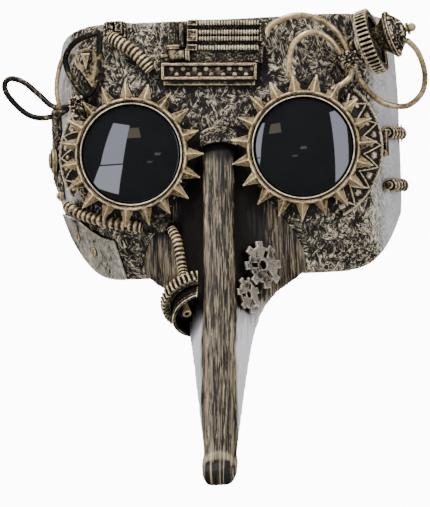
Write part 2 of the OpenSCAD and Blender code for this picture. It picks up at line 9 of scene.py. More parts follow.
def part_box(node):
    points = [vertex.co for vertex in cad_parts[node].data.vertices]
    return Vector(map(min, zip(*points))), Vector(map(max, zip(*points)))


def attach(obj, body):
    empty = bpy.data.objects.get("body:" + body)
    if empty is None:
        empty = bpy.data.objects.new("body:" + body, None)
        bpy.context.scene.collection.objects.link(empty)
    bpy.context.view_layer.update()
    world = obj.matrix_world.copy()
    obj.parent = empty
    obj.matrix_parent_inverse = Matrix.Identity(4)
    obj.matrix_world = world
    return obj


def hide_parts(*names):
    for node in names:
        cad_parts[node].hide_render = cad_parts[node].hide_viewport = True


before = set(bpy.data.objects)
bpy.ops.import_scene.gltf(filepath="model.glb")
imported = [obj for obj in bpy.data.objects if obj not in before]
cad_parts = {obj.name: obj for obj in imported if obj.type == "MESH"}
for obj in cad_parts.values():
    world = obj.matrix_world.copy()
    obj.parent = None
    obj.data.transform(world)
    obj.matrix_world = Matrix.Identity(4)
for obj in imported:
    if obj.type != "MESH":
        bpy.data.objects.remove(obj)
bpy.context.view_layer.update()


# ---- Face shell --------------------------------------------------------------------------------
# The moulded half-face shell, 2.2 mm black plastic. Its brow and goggle surrounds carry a crumpled,
# fibrous relief; the temples and cheeks are plain and brushed with silver and gold paint.

MM = 0.001


def welded(node):
    """A welded copy of a CAD node's mesh as a new, unlinked object."""
    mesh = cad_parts[node].data.copy()
    mesh.materials.clear()
    bm = bmesh.new()
    bm.from_mesh(mesh)
    bmesh.ops.remove_doubles(bm, verts=bm.verts, dist=0.002 * MM)
    bm.to_mesh(mesh)
    bm.free()
    return linked(mesh, node)


def linked(mesh, name):
    """A new object for a mesh, in the scene and at the origin."""
    piece = bpy.data.objects.new(name + "_piece", mesh)
    bpy.context.scene.collection.objects.link(piece)
    return piece


def moulded(piece, voxel, passes):
    """Remeshes a closed piece into even quads and softens its edges, as a mould does."""
    remesh = piece.modifiers.new("even quads", "REMESH")
    remesh.mode = "VOXEL"
    remesh.voxel_size = voxel * MM
    evaluated = piece.evaluated_get(bpy.context.evaluated_depsgraph_get())
    mesh = bpy.data.meshes.new_from_object(evaluated)
    piece.modifiers.clear()
    piece.data = mesh
    bm = bmesh.new()
    bm.from_mesh(mesh)
    for _ in range(passes):
        bmesh.ops.smooth_vert(bm, verts=bm.verts, factor=0.5, use_axis_x=True, use_axis_y=True,
                              use_axis_z=True)
    bm.to_mesh(mesh)
    bm.free()
    mesh.shade_smooth()
    return piece


def points_and_normals(mesh):
    """The vertex places, in millimetres, and the vertex normals of a mesh."""
    count = len(mesh.vertices)
    places = np.empty(count * 3)
    normals = np.empty(count * 3)
    mesh.vertices.foreach_get("co", places)
    mesh.vertices.foreach_get("normal", normals)
    return places.reshape(-1, 3) / MM, normals.reshape(-1, 3)


def keep_value(mesh, name, values):
    """Stores one number a vertex, for the paint to read."""
    layer = mesh.attributes.new(name, "FLOAT", "POINT")
    layer.data.foreach_set("value", np.asarray(values, dtype=np.float32))


def raise_relief(piece, height_at):
    """Moves each vertex along its normal by height_at(place, normal), in mm, and stores the height."""
    mesh = piece.data
    places, normals = points_and_normals(mesh)
    heights = np.array([height_at(p, n) for p, n in zip(places.tolist(), normals.tolist())])
    moved = (places + normals * heights[:, None]) * MM
    mesh.vertices.foreach_set("co", moved.ravel())
    mesh.update()
    keep_value(mesh, "relief", heights)


def mark_edges(piece, reach=3):
    """Stores how far each vertex stands out of its neighbours: worn edges are high, corners low."""
    mesh = piece.data
    places, normals = points_and_normals(mesh)
    ends = np.empty(len(mesh.edges) * 2, dtype=np.int64)
    mesh.edges.foreach_get("vertices", ends)
    a, b = ends[0::2], ends[1::2]
    total = np.zeros(len(places))
    links = np.zeros(len(places))
    step = places[b] - places[a]
    length = np.linalg.norm(step, axis=1) + 1e-6
    np.add.at(total, a, -(step * normals[a]).sum(1) / length)
    np.add.at(total, b, (step * normals[b]).sum(1) / length)
    np.add.at(links, a, 1)
    np.add.at(links, b, 1)
    edge = total / np.maximum(links, 1)
    for _ in range(reach):
        spread = np.zeros(len(places))
        np.add.at(spread, a, edge[b])
        np.add.at(spread, b, edge[a])
        edge = 0.5 * edge + 0.5 * spread / np.maximum(links, 1)
    keep_value(mesh, "edge", edge)


def settled(piece, material, slot, body, *nodes):
    """Paints a finished piece, fixes it to its body and lets it stand for its CAD nodes."""
    piece.data.materials.clear()
    piece.data.materials.append(material)
    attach(piece, body)
    if nodes:
        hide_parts(*nodes)
    return piece


def blend01(value, low, high):
    """0 below low, 1 above high, and smooth between."""
    t = min(1.0, max(0.0, (value - low) / (high - low)))
    return t * t * (3 - 2 * t)


# The relief bends its strands by random offsets. A fixed seed gives the same mask in every run.
noise.seed_set(5)


def fibres(p, size, stretch=(1.0, 1.0, 1.0)):
    """Crumpled strands of about the given size, 0 to about 1."""
    q = Vector((p[0] * stretch[0], p[1] * stretch[1], p[2] * stretch[2])) / size
    bent = q + 0.9 * noise.noise_vector(q * 0.55)
    return max(0.0, min(1.0, 0.42 * noise.ridged_multi_fractal(bent, 0.9, 2.2, 4, 1.0, 1.6)))


EYE_X = 45.0


def shell_zone(p):
    """How rough the shell is moulded at a place, 0 on the plain temples to 1 on the brow."""
    from_eye = math.hypot(abs(p[0]) - EYE_X, p[2])
    bridge = (1 - blend01(abs(p[0] + 1), 12, 18)) * blend01(p[2], 8, 14)
    side = 1 - blend01(abs(p[0]), 80, 90)
    cheek = 0.45 + 0.55 * blend01(p[2], -52, -30)
    return side * max(cheek, bridge, 1 - blend01(from_eye, 36, 50))


def crossed(p, size, draw):
    """Crumpled strands that lean one way in some places and the other way elsewhere."""
    lean = blend01(noise.noise(Vector(p) / 8.0 + Vector((9, 9, 9))), -0.08, 0.08)
    tall = fibres((0.94 * p[0] - 0.34 * p[2], p[1], 0.34 * p[0] + 0.94 * p[2]), size, (1, 1, draw))
    flat = fibres((0.64 * p[0] + 0.77 * p[2], p[1], -0.77 * p[0] + 0.64 * p[2]), size, (1, 1, draw))
    return tall * (1 - lean) + flat * lean


def shell_height(p, n):
    """Relief of the shell's outer face, in mm; its inside and its edges stay smooth."""
    if n[0] * p[0] / 94.0 + n[1] * p[1] / 61.0 < 0.25:
        return 0.0
    strands = crossed(p, 2.9, 0.4)
    lumps = 0.5 + 0.5 * noise.noise(Vector(p) / 9.0)
    return shell_zone(p) * (1.3 * strands * (0.4 + 0.9 * lumps) - 0.5) + 0.08 * noise.noise(Vector(p) / 1.5)


def shell_bare_and_shade(p, n):
    """Where the colour is held at the black base: bare black plastic inside, and painted shade beside the
    nose, under the brow block and round the goggles.
    """
    if n[0] * p[0] / 94.0 + n[1] * p[1] / 61.0 < -0.05:
        return 3.0
    # Painted shade: the nose, block and ring terms darken the recess beside the nose, the shell under the
    # brow block and the shell round the goggles.
    nose = (1 - blend01(abs(p[0]), 14, 24)) * blend01(p[2], -60, -40) * (1 - blend01(p[2], 8, 15))
    block = (1 - blend01(abs(p[0] + 3), 26, 34)) * blend01(p[2], 30, 36) * (1 - blend01(p[2], 46, 52))
    ring = 1 - blend01(math.hypot(abs(p[0]) - EYE_X, p[2]), 31, 37)
    return max(0.9 * nose, 0.4 * block, 0.45 * ring)


def shell_silver(p, n):
    """Where silver was brushed over the gold: both temples and the outer cheeks."""
    if n[0] * p[0] / 94.0 + n[1] * p[1] / 61.0 < -0.05:
        return 0.0
    wander = 5 * noise.noise(Vector(p) / 13.0)
    return blend01(abs(p[0]) + wander, 74, 88)


def keep_zones(piece, bare_and_shade_at, silver_at):
    """Stores the zones held at the black base, bare inside and painted shade elsewhere, and the silvered
    zones of a piece for its paint to read.
    """
    places, normals = points_and_normals(piece.data)
    pairs = list(zip(places.tolist(), normals.tolist()))
    keep_value(piece.data, "bare_and_shade", [bare_and_shade_at(p, n) for p, n in pairs])
    keep_value(piece.data, "silver", [silver_at(p, n) for p, n in pairs])


shell = moulded(welded("face_shell"), 0.92, 4)
raise_relief(shell, shell_height)
mark_edges(shell)
keep_zones(shell, shell_bare_and_shade, shell_silver)


def add_node(tree, kind, settings=None, **inputs):
    """Adds a shader node, sets its options, and sets or links its inputs by name or number."""
    made = tree.nodes.new(kind)
    for key, value in (settings or {}).items():
        setattr(made, key, value)
    for key, value in inputs.items():
        socket = made.inputs[int(key[1:])] if key[0] == "i" and key[1:].isdigit() else made.inputs[
            key.replace("_", " ")]
        if isinstance(value, bpy.types.NodeSocket):
            tree.links.new(value, socket)
        else:
            socket.default_value = value
    return made


def calculate(tree, operation, a, b=0.0, clamp=False):
    """A Math node's result."""
    return add_node(tree, "ShaderNodeMath", {"operation": operation, "use_clamp": clamp},
                    i0=a, i1=b).outputs[0]


def ramped(tree, value, low, high, to_low=0.0, to_high=1.0):
    """A smooth step of a value between two limits."""
    return add_node(tree, "ShaderNodeMapRange", {"interpolation_type": "SMOOTHSTEP"}, Value=value,
                    From_Min=low, From_Max=high, To_Min=to_low, To_Max=to_high).outputs[0]


def mixed(tree, share, a, b, blend="MIX"):
    """Two colours mixed, or multiplied."""
    mix = tree.nodes.new("ShaderNodeMix")
    mix.data_type = "RGBA"
    mix.blend_type = blend
    for socket, value in ((mix.inputs[0], share), (mix.inputs[6], a), (mix.inputs[7], b)):
        if isinstance(value, bpy.types.NodeSocket):
            tree.links.new(value, socket)
        else:
            socket.default_value = value
    return mix.outputs[2]


def group_with(name, inputs, outputs):
    """An empty shader group with named sockets, and its input and output nodes."""
    group = bpy.data.node_groups.new(name, "ShaderNodeTree")
    for label, kind, value in inputs:
        socket = group.interface.new_socket(label, in_out="INPUT", socket_type=kind)
        if value is not None:
            socket.default_value = value
    for label, kind in outputs:
        group.interface.new_socket(label, in_out="OUTPUT", socket_type=kind)
    return group, group.nodes.new("NodeGroupInput"), group.nodes.new("NodeGroupOutput")


# Dry brushing: paint dragged over the high spots of a dark base. Thin bright strands run over the paint,
# dark cracks cut through it, and in the hollows the paint thins to the dark base. Ambient occlusion also
# darkens the colour in hollows and corners: painted shade.
brushing, brush_in, brush_out = group_with("dry brushing", [
    ("Vector", "NodeSocketVector", None), ("Base", "NodeSocketColor", (0.02, 0.017, 0.013, 1)),
    ("Paint", "NodeSocketColor", (0.4, 0.3, 0.15, 1)), ("Highlight", "NodeSocketColor", (0.7, 0.6, 0.4, 1)),
    ("Cover", "NodeSocketFloat", 0.5), ("Scale", "NodeSocketFloat", 300.0),
    ("Strands", "NodeSocketFloat", 0.6), ("Cracks", "NodeSocketFloat", 0.6),
    ("Stretch", "NodeSocketFloat", 1.0), ("Stroke Weight", "NodeSocketFloat", 1.2),
    ("Relief Weight", "NodeSocketFloat", 0.0), ("Edge Weight", "NodeSocketFloat", 3.0),
    ("Wash And Shade Reach", "NodeSocketFloat", 0.004), ("Silver", "NodeSocketColor", (0.4, 0.4, 0.4, 1))],
    [("Color", "NodeSocketColor"), ("Paint Mask", "NodeSocketFloat"), ("Roughness", "NodeSocketFloat"),
     ("Height", "NodeSocketFloat")])
g = brushing


def brush_noise(factor, detail, offset, distortion=0.0):
    """Noise at a multiple of the brush scale."""
    scale = calculate(g, "MULTIPLY", brush_in.outputs["Scale"], factor)
    moved = add_node(g, "ShaderNodeVectorMath", {"operation": "ADD"}, i0=brush_in.outputs["Vector"],
                     i1=(offset, 2 * offset, -offset)).outputs[0]
    return add_node(g, "ShaderNodeTexNoise", Vector=moved, Scale=scale, Detail=detail, Roughness=0.6,
                    Distortion=distortion).outputs[0]


def turned(angle):
    """The brush vector turned about the front-to-back axis and stretched into long strokes."""
    spun = add_node(g, "ShaderNodeVectorRotate", {"rotation_type": "Y_AXIS"},
                    Vector=brush_in.outputs["Vector"], Angle=math.radians(angle)).outputs[0]
    long = add_node(g, "ShaderNodeCombineXYZ", X=1.0, Y=0.8, Z=brush_in.outputs["Stretch"]).outputs[0]
    return add_node(g, "ShaderNodeVectorMath", {"operation": "MULTIPLY"}, i0=spun, i1=long).outputs[0]


ways = [turned(angle) for angle in (18, -38, 72)]
lanes = brush_noise(0.16, 2.0, 2.7)
lane_one = ramped(g, lanes, 0.45, 0.49)
lane_two = ramped(g, lanes, 0.53, 0.57)


def stroke_noise(factor, detail, offset, distortion):
    """Noise drawn out into strokes that change direction from place to place."""
    scale = calculate(g, "MULTIPLY", brush_in.outputs["Scale"], factor)
    fields = []
    for way in ways:
        moved = add_node(g, "ShaderNodeVectorMath", {"operation": "ADD"}, i0=way,
                         i1=(offset, offset, -offset)).outputs[0]
        fields.append(add_node(g, "ShaderNodeTexNoise", Vector=moved, Scale=scale, Detail=detail,
                               Roughness=0.55, Distortion=distortion).outputs[0])
    first = add_node(g, "ShaderNodeMix", i0=lane_one, i2=fields[0], i3=fields[1]).outputs[0]
    return add_node(g, "ShaderNodeMix", i0=lane_two, i2=first, i3=fields[2]).outputs[0]


def line_mask(value, width):
    """Thin lines where a noise crosses its middle."""
    away = calculate(g, "ABSOLUTE", calculate(g, "SUBTRACT", value, 0.5))
    return ramped(g, away, 0.0, width, 1.0, 0.0)


def attribute(name):
    """A stored vertex value, or 0 on a piece that doesn't have it."""
    return add_node(g, "ShaderNodeAttribute", {"attribute_name": name}).outputs["Fac"]


strokes = stroke_noise(1.0, 4.0, 0.0, 0.3)
grain = brush_noise(3.6, 3.0, 0.3)
patches = brush_noise(0.17, 2.0, 0.7)
strand_lines = line_mask(stroke_noise(0.62, 1.5, 1.1, 0.7), 0.045)
crack_lines = line_mask(stroke_noise(0.52, 1.5, 1.9, 0.7), 0.05)
# bare_and_shade: bare black plastic inside, and painted shade in recesses; it takes the paint away down to
# the dark base.
bare_and_shade = attribute("bare_and_shade")
hollow = add_node(g, "ShaderNodeAmbientOcclusion", {"samples": 6, "only_local": False},
                  Distance=brush_in.outputs["Wash And Shade Reach"]).outputs["AO"]
raised = calculate(g, "MULTIPLY", attribute("relief"), brush_in.outputs["Relief Weight"])
raised = calculate(g, "ADD", raised, calculate(g, "MULTIPLY", attribute("edge"),
                                               brush_in.outputs["Edge Weight"]))
stroke_part = calculate(g, "MULTIPLY", calculate(g, "SUBTRACT", strokes, 0.5),
                        brush_in.outputs["Stroke Weight"])
raised = calculate(g, "ADD", raised, stroke_part)
raised = calculate(g, "ADD", raised, calculate(g, "MULTIPLY", calculate(g, "SUBTRACT", grain, 0.5), 0.5))
raised = calculate(g, "ADD", raised, calculate(g, "MULTIPLY", calculate(g, "SUBTRACT", patches, 0.5), 0.9))
level = calculate(g, "ADD", raised, calculate(g, "SUBTRACT", brush_in.outputs["Cover"], 0.5))
# In hollows the paint thins and the dark base shows, as dry brushing leaves it.
level = calculate(g, "ADD", level, ramped(g, hollow, 0.3, 0.95, -0.5, 0.0))
silver = attribute("silver")
level = calculate(g, "ADD", calculate(g, "SUBTRACT", level, bare_and_shade), calculate(g, "MULTIPLY", silver, 0.8))
calm = calculate(g, "SUBTRACT", 1.0, calculate(g, "MULTIPLY", silver, 0.85))
paint_mask = ramped(g, level, -0.1, 0.12)
light_mask = ramped(g, calculate(g, "SUBTRACT", level, calculate(g, "MULTIPLY", silver, 0.35)), 0.2, 0.55)
strand_mask = calculate(g, "MULTIPLY", calculate(g, "MULTIPLY", strand_lines, brush_in.outputs["Strands"]),
                        calculate(g, "MULTIPLY", ramped(g, level, -0.35, 0.1), calm))
crack_mask = calculate(g, "MULTIPLY", crack_lines, brush_in.outputs["Cracks"])
crack_mask = calculate(g, "MULTIPLY", crack_mask, calm)
paint_here = mixed(g, silver, brush_in.outputs["Paint"], brush_in.outputs["Silver"])
light_here = mixed(g, silver, brush_in.outputs["Highlight"],
                   mixed(g, 1.0, brush_in.outputs["Silver"], (1.35, 1.35, 1.35, 1), "MULTIPLY"))
colour = mixed(g, paint_mask, brush_in.outputs["Base"], paint_here)
colour = mixed(g, light_mask, colour, light_here)
colour = mixed(g, crack_mask, colour, brush_in.outputs["Base"])
colour = mixed(g, strand_mask, colour, light_here)
# Painted shade: the colour is darkened down to 0.3 in hollows and corners by the ambient occlusion.
shade = ramped(g, hollow, 0.1, 0.85, 0.3, 1.0)
grey = add_node(g, "ShaderNodeCombineColor", Red=shade, Green=shade, Blue=shade).outputs[0]
g.links.new(mixed(g, 1.0, colour, grey, "MULTIPLY"), brush_out.inputs["Color"])
covered = calculate(g, "SUBTRACT", calculate(g, "MAXIMUM", paint_mask, strand_mask), crack_mask, True)
g.links.new(covered, brush_out.inputs["Paint Mask"])
g.links.new(ramped(g, grain, 0.3, 0.7, 0.40, 0.58), brush_out.inputs["Roughness"])
thick = calculate(g, "ADD", calculate(g, "MULTIPLY", covered, 0.5), calculate(g, "MULTIPLY", grain, 0.3))
g.links.new(calculate(g, "ADD", thick, calculate(g, "MULTIPLY", strand_mask, 0.5)),
            brush_out.inputs["Height"])


def painted(name, base, paint, highlight, cover, size, stretch=(1, 1, 1), strands=0.6, cracks=0.5,
            relief=0.0, edge=3.0, wash_and_shade=4.0, bump=0.3, metal=0.0, gloss=0.0,
            silver=(0.30, 0.30, 0.31), draw=1.0, streaky=1.2):
    """A plastic painted by dry brushing. size is the stroke size in mm, wash_and_shade the reach, in mm,
    of the paint thinning in hollows and of the painted shade there, and draw how much of a stroke's length
    is left: a small value draws strokes out. streaky is the contrast of the strokes."""
    material = bpy.data.materials.new(name)
    material.use_nodes = True
    tree = material.node_tree
    shader = tree.nodes["Principled BSDF"]
    place = add_node(tree, "ShaderNodeTexCoord").outputs["Object"]
    mapped = add_node(tree, "ShaderNodeMapping", Vector=place, Scale=stretch).outputs[0]
    brush = tree.nodes.new("ShaderNodeGroup")
    brush.node_tree = brushing
    tree.links.new(mapped, brush.inputs["Vector"])
    for label, value in (("Base", (*base, 1)), ("Paint", (*paint, 1)), ("Highlight", (*highlight, 1)),
                         ("Cover", cover), ("Scale", 1 / (size * MM)), ("Relief Weight", relief),
                         ("Edge Weight", edge), ("Wash And Shade Reach", wash_and_shade * MM), ("Silver", (*silver, 1)),
                         ("Strands", strands), ("Cracks", cracks), ("Stretch", draw),
                         ("Stroke Weight", streaky)):
        brush.inputs[label].default_value = value
    tree.links.new(brush.outputs["Color"], shader.inputs["Base Color"])
    rough = calculate(tree, "SUBTRACT", brush.outputs["Roughness"], gloss)
    tree.links.new(rough, shader.inputs["Roughness"])
    bumped = add_node(tree, "ShaderNodeBump", Strength=bump, Distance=0.5 * MM,
                      Height=brush.outputs["Height"]).outputs[0]
    tree.links.new(bumped, shader.inputs["Normal"])
    if metal:
        tree.links.new(calculate(tree, "MULTIPLY", brush.outputs["Paint Mask"], metal),
                       shader.inputs["Metallic"])
    tree.links.new(ramped(tree, brush.outputs["Paint Mask"], 0.0, 1.0, 0.12, 0.5),
                   shader.inputs["Specular IOR Level"])
    return material


SOOT = (0.008, 0.007, 0.006)
shell_paint = painted("shell dry brushed", SOOT, (0.115, 0.090, 0.056), (0.74, 0.64, 0.46), 0.44, 1.15,
                      relief=0.45, edge=1.6, wash_and_shade=4.0, strands=0.95, cracks=0.85, draw=0.17, streaky=2.2)
settled(shell, shell_paint, "antique_shell", "mask", "face_shell")


# ---- Beak --------------------------------------------------------------------------------------
# The long hollow nose, one moulding with a flat ridge and a flared skirt that laps over the shell.
# It is brushed lengthwise, so the gold lies in streaks from the root to the tip.

def beak_height(p, n):
    """Lengthwise drag marks in the beak's outer face, and the folded tip, in mm."""
    if n[1] > 0.55:
        return 0.0
    drag = fibres(p, 2.6, (1.0, 0.35, 0.13))
    height = 0.34 * (drag - 0.4) + 0.06 * noise.noise(Vector(p) / 1.1)
    fold = 1 - blend01(abs(p[2] + 153.5 + 0.05 * p[0] * p[0]), 1.0, 3.2)
    return height * (1 - fold) + 0.6 * fold


def beak_bare_and_shade(p, n):
    """Bare black inside; painted shade beside the upper ridge, in the grooves of the tip and at the root
    under the nose arch.
    """
    if n[1] > 0.3:
        return 3.0
    # Painted shade: beside, grooves and root darken the beak where the ridge's recess, the tip's grooves
    # and the nose arch leave it in shade.
    beside = blend01(abs(p[0]), 7.4, 9.4) * (1 - blend01(abs(p[0]), 13, 27)) * blend01(p[2], -88, -62)
    tip = 1 - blend01(p[2], -157.5, -155)
    grooves = tip * max(math.exp(-((p[0] - x) / 0.85) ** 2) for x in (-5.2, -1.4, 4.6))
    root = blend01(p[2], -8, 4)
    return max(0.9 * beside, grooves, 0.5 * root)


def beak_silver(p, n):
    """Silver on the flared sides, from the middle of the beak down."""
    if n[1] > 0.3:
        return 0.0
    wander = 1.2 * noise.noise(Vector((p[0], p[1], p[2] * 0.3)) / 5.0)
    return blend01(abs(p[0]) + wander, 8.2, 9.6) * (1 - blend01(p[2], -95, -72))


beak = moulded(welded("beak_shell"), 0.9, 3)
raise_relief(beak, beak_height)
mark_edges(beak)
keep_zones(beak, beak_bare_and_shade, beak_silver)
beak_paint = painted("beak streaks", SOOT, (0.100, 0.073, 0.041), (0.40, 0.305, 0.17), 0.48, 0.75,
                     (1.0, 0.05, 0.045), relief=0.5, edge=0.8, wash_and_shade=9.0, strands=0.6, cracks=0.7,
                     silver=(0.41, 0.41, 0.43), streaky=1.7)
settled(beak, beak_paint, "antique_beak", "mask", "beak_shell")


# ---- Goggles: cups, lenses and rings -----------------------------------------------------------
# Two turned cups set in the shell. Each holds a domed smoked lens between a black rubber gasket and
# a bright snap ring, and the spiked bezel screws over its rim.

def cast(node, voxel, passes, grain=0.0, grain_size=1.5):
    """A moulded copy of a CAD node: soft edges and a slightly lumpy cast skin."""
    piece = moulded(welded(node), voxel, passes)
    if grain:
        raise_relief(piece, lambda p, n: grain * noise.fractal(Vector(p) / grain_size, 0.8, 2.0, 3))
    mark_edges(piece)
    return piece


def plain(name, colour, roughness, size, bump=0.1, contrast=0.35):
    """A single-coloured finish with mottling and a fine skin."""
    material = bpy.data.materials.new(name)
    material.use_nodes = True
    tree = material.node_tree
    shader = tree.nodes["Principled BSDF"]
    place = add_node(tree, "ShaderNodeTexCoord").outputs["Object"]
    mottle = add_node(tree, "ShaderNodeTexNoise", Vector=place, Scale=1 / (size * MM), Detail=6.0,
                      Roughness=0.6).outputs[0]
    dark = [channel * (1 - contrast) for channel in colour]
    tree.links.new(mixed(tree, ramped(tree, mottle, 0.3, 0.7), (*dark, 1), (*colour, 1)),
                   shader.inputs["Base Color"])
    tree.links.new(ramped(tree, mottle, 0.3, 0.7, roughness * 1.2, roughness * 0.85),
                   shader.inputs["Roughness"])
    tree.links.new(add_node(tree, "ShaderNodeBump", Strength=bump, Distance=0.2 * MM,
                            Height=mottle).outputs[0], shader.inputs["Normal"])
    return material


cup_black = painted("goggle cup", (0.005, 0.005, 0.005), (0.10, 0.08, 0.05), (0.4, 0.33, 0.22), 0.12, 1.4,
                    edge=5.0, wash_and_shade=3.0)
smoked = plain("smoked lens", (0.006, 0.007, 0.008), 0.03, 9.0, bump=0.0, contrast=0.2)
rubber = plain("black rubber", (0.006, 0.006, 0.006), 0.45, 0.8)
bright_gold = painted("worn bright rim", (0.03, 0.025, 0.02), (0.38, 0.30, 0.19), (0.92, 0.80, 0.56), 0.60,
                      1.2, edge=2.0, wash_and_shade=1.2, strands=0.4, cracks=0.4)


def lens_dome(side):
    """A lens turned about its own axis, with a flat back and a shallow domed front."""
    low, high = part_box("lens_" + side)
    centre = (low + high) / 2
    radius = (high.x - low.x) / 2
    edge_y = low.y + 4.2 * MM
    swing = math.radians(18)
    arc = [Vector((centre.x + radius * math.sin(swing * k / 20) / math.sin(swing),
                   low.y + (edge_y - low.y) * (1 - math.cos(swing * k / 20)) / (1 - math.cos(swing)),
                   centre.z)) for k in range(21)]
    arc += [Vector((centre.x + radius, high.y, centre.z)), Vector((centre.x, high.y, centre.z))]
    bm = bmesh.new()
    profile = [bm.verts.new(place) for place in arc]
    line = [bm.edges.new(pair) for pair in zip(profile, profile[1:])]
    bmesh.ops.spin(bm, geom=profile + line, cent=centre, axis=(0, 1, 0), dvec=(0, 0, 0),
                   angle=2 * math.pi, steps=128, use_merge=True, use_duplicate=False)
    bmesh.ops.remove_doubles(bm, verts=bm.verts, dist=0.01 * MM)
    bmesh.ops.recalc_face_normals(bm, faces=bm.faces)
    mesh = bpy.data.meshes.new("lens_" + side)
    bm.to_mesh(mesh)
    bm.free()
    mesh.shade_smooth()
    return linked(mesh, "lens_" + side)


for side in ("left", "right"):
    settled(lens_dome(side), smoked, "dark_lens", "mask", "lens_" + side)
    settled(cast("goggle_cup_" + side, 0.45, 1), cup_black, "blackened", "mask", "goggle_cup_" + side)
    settled(cast("lens_gasket_" + side, 0.34, 1), rubber, "black_rubber", "mask", "lens_gasket_" + side)
    settled(cast("lens_retainer_" + side, 0.24, 1), bright_gold, "bright_rim", "mask",
            "lens_retainer_" + side)


# ---- Spiked bezels -----------------------------------------------------------------------------
# A turned ring with nineteen spikes. Ring and spikes are one casting, painted gold; at the spikes' roots
# the paint thins to the dark base and painted shade darkens the corners. A dark groove runs between the
# ring and the lens.
# Each bezel twists on its cup.

antique_gold = painted("antique gold casting", (0.010, 0.007, 0.004), (0.28, 0.20, 0.10),
                       (0.84, 0.66, 0.36), 0.60, 1.5, edge=2.8, wash_and_shade=3.0, strands=0.1, cracks=0.25,
                       metal=0.35, gloss=0.10, streaky=0.8)
SPIKES = 19


def spiked_ring(side, eye, first):
    """The bezel ring with its spikes, before it is softened."""
    low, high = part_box("spiked_bezel_" + side)
    tip = (high.x - low.x) / 2
    front, rear = low.y, high.y
    bm = bmesh.new()
    section = [(28.1, rear), (29.2, rear), (29.5, rear - 0.6 * MM), (29.5, front + 1.4 * MM),
               (29.2, front + 0.3 * MM), (28.5, front), (28.1, front + 0.5 * MM), (27.9, front + 1.3 * MM),
               (27.45, front + 1.2 * MM), (27.45, front + 2.7 * MM), (28.1, front + 2.7 * MM)]
    loop = [bm.verts.new((eye * MM + r * MM, y, 0)) for r, y in section]
    edges = [bm.edges.new((loop[k], loop[(k + 1) % len(loop)])) for k in range(len(loop))]
    bmesh.ops.spin(bm, geom=loop + edges, cent=(eye * MM, 0, 0), axis=(0, 1, 0), dvec=(0, 0, 0),
                   angle=2 * math.pi, steps=120, use_merge=True, use_duplicate=False)
    for k in range(SPIKES):
        angle = 2 * math.pi * k / SPIKES + math.radians(first)
        long = tip - 28.7 * MM - (0.0008 if k % 3 == 1 else 0.0)
        spike = bmesh.ops.create_cone(bm, cap_ends=True, segments=4, radius1=3.9 * MM, radius2=0.25 * MM,
                                      depth=long)
        stand = (Matrix.Translation((eye * MM, front + 2.6 * MM, 0))
                 @ Matrix.Rotation(-angle, 4, "Y") @ Matrix.Translation((28.7 * MM + long / 2, 0, 0))
                 @ Matrix.Rotation(math.pi / 2, 4, "Y"))
        bmesh.ops.transform(bm, matrix=stand, verts=spike["verts"])
    bmesh.ops.recalc_face_normals(bm, faces=bm.faces)
    mesh = bpy.data.meshes.new("spiked_bezel_" + side)
    bm.to_mesh(mesh)
    bm.free()
    return linked(mesh, "spiked_bezel_" + side)


def ring_grain(p, n):
    """Cast grain on the ring's outside only, in mm, so that its bore stays true."""
    outside = blend01(math.hypot(abs(p[0]) - EYE_X, p[2]), 28.6, 29.2)
    return outside * 0.07 * noise.fractal(Vector(p) / 1.3, 0.8, 2.0, 3)


for side, eye, first in (("left", -EYE_X, -2), ("right", EYE_X, -93)):
    bezel = moulded(spiked_ring(side, eye, first), 0.27, 1)
    raise_relief(bezel, ring_grain)
    mark_edges(bezel)
    settled(bezel, antique_gold, "antique_gold", "bezel_" + side, "spiked_bezel_" + side)


# ---- Nose arch, cowls and temple plate ---------------------------------------------------------
# Embossed plates that fill the space between the goggles and beside them. The cowls carry a zigzag of
# raised triangles between two ribs; the rest is fibrous like the brow. All are cemented on.

relief_gold = painted("embossed plate", SOOT, (0.16, 0.125, 0.075), (0.68, 0.56, 0.37), 0.34, 1.4,
                      relief=0.7, edge=2.4, wash_and_shade=3.0, strands=0.6, cracks=0.8, metal=0.2)


def embossed(node, voxel, height_at, passes=2):
    """A moulded copy of a CAD plate with a pattern raised on it."""
    piece = moulded(welded(node), voxel, passes)
    raise_relief(piece, height_at)
    mark_edges(piece)
    return piece


def strands_of(depth, size, stretch=(1, 1, 1)):
    """A height function of crumpled strands."""
    return lambda p, n: depth * (fibres(p, size, stretch) - 0.35)


def triangles(p, n):
    """Raised zigzag between an inner and an outer rib, about the nearer goggle's axis."""
    eye = math.copysign(EYE_X, p[0])
    radius = math.hypot(p[0] - eye, p[2])
    turn = math.degrees(math.atan2(p[2], abs(p[0] - eye))) / 17.0
    wave = abs((turn % 1.0) - 0.5) * 2
    line = 31.0 + 8.0 * wave
    zigzag = math.exp(-((radius - line) / 0.75) ** 2)
    rib = math.exp(-((radius - 40.0) / 0.7) ** 2)
    boss = math.exp(-((wave - 0.1) / 0.25) ** 2) * math.exp(-((radius - 36.5) / 1.3) ** 2)
    return 1.1 * max(zigzag, rib, boss) - 0.45 + 0.25 * fibres(p, 2.0)


settled(embossed("nose_arch", 0.35, strands_of(0.8, 1.9, (1.0, 1.0, 1.2))), relief_gold, "antique_relief",
        "mask", "nose_arch")
for side in ("left", "right"):
    settled(embossed("side_shield_" + side, 0.42, triangles, 1), relief_gold, "antique_relief", "mask",
            "side_shield_" + side)
settled(embossed("temple_plate_left", 0.42, strands_of(1.3, 4.0)), relief_gold, "antique_relief", "mask",
        "temple_plate_left")
for node, voxel in (("shield_rivets", 0.2), ("temple_knobs", 0.3)):
    settled(cast(node, voxel, 1, 0.05), antique_gold, "antique_gold", "mask", node)


# ---- Brow block --------------------------------------------------------------------------------
# The beaded channel, the toothed rods with their clamps and block, the elbow pipe and the risers.
# They are separate gold-painted mouldings, stacked on the middle of the forehead.

